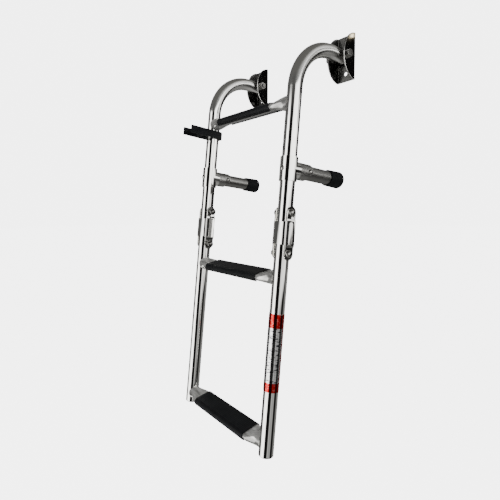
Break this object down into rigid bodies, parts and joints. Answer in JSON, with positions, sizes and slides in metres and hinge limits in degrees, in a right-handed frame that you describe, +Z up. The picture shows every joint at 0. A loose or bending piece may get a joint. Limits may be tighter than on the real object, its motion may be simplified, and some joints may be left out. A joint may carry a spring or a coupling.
{
  "type": "boat boarding ladder",
  "caption": "Folding boat boarding ladder: hooked stainless tube rails on swing brackets, black step treads, hinged lower section and rubber-tipped stand-offs.",
  "frame": {"origin": "on the plane that the two brackets are screwed to, midway between them, at the height of the swing bolts", "axes": "+Y out of the brackets' backs towards the boat, +Z up, +X to the right along the steps when facing the boat"},
  "size_m": [0.2902, 0.2157, 0.7293],
  "materials": {
    "polished_stainless": "mirror polished",
    "black_plastic": "fine moulded texture",
    "black_rubber": "matte",
    "label_film": "printed film"
  },
  "bodies": {
    "brackets": {"left_bracket": "polished_stainless", "right_bracket": "polished_stainless", "left_swing_bolt": "polished_stainless", "right_swing_bolt": "polished_stainless", "left_swing_nut": "polished_stainless", "right_swing_nut": "polished_stainless", "left_inner_bush": "polished_stainless", "right_inner_bush": "polished_stainless", "left_outer_bush": "polished_stainless", "right_outer_bush": "polished_stainless"},
    "upper_frame": {"left_upper_rail": "polished_stainless", "right_upper_rail": "polished_stainless", "left_tee_fitting": "polished_stainless", "right_tee_fitting": "polished_stainless", "left_standoff_tube": "polished_stainless", "right_standoff_tube": "polished_stainless", "left_standoff_cap": "black_rubber", "right_standoff_cap": "black_rubber", "left_tee_screw": "polished_stainless", "right_tee_screw": "polished_stainless", "left_tee_bolt": "polished_stainless", "right_tee_bolt": "polished_stainless", "left_tee_nut": "polished_stainless", "right_tee_nut": "polished_stainless", "top_step_tube": "polished_stainless", "top_step_tread": "black_plastic", "folding_clip": "black_plastic"},
    "hinge_links": {"left_hinge_link": "polished_stainless", "right_hinge_link": "polished_stainless", "left_upper_pivot_bolt": "polished_stainless", "right_upper_pivot_bolt": "polished_stainless", "left_lower_pivot_bolt": "polished_stainless", "right_lower_pivot_bolt": "polished_stainless", "left_upper_pivot_nut": "polished_stainless", "right_upper_pivot_nut": "polished_stainless", "left_lower_pivot_nut": "polished_stainless", "right_lower_pivot_nut": "polished_stainless"},
    "lower_frame": {"left_lower_rail": "polished_stainless", "right_lower_rail": "polished_stainless", "left_foot_plug": "black_plastic", "right_foot_plug": "black_plastic", "middle_step_tube": "polished_stainless", "middle_step_tread": "black_plastic", "bottom_step_tube": "polished_stainless", "bottom_step_tread": "black_plastic", "rail_label": "label_film"}
  },
  "joints": [
    {"name": "ladder_swing", "type": "hinge", "parent": "brackets", "child": "upper_frame", "pos_m": [0, -0.02, 0], "axis": [-1, 0, 0], "range_deg": [-5, 84.2]},
    {"name": "upper_fold", "type": "hinge", "parent": "upper_frame", "child": "hinge_links", "pos_m": [0, -0.15443, -0.28437], "axis": [-1, 0, 0], "range_deg": [0, 93.2]},
    {"name": "lower_fold", "type": "hinge", "parent": "hinge_links", "child": "lower_frame", "pos_m": [0, -0.1613, -0.35202], "axis": [-1, 0, 0], "range_deg": [0, 93.2]}
  ]
}
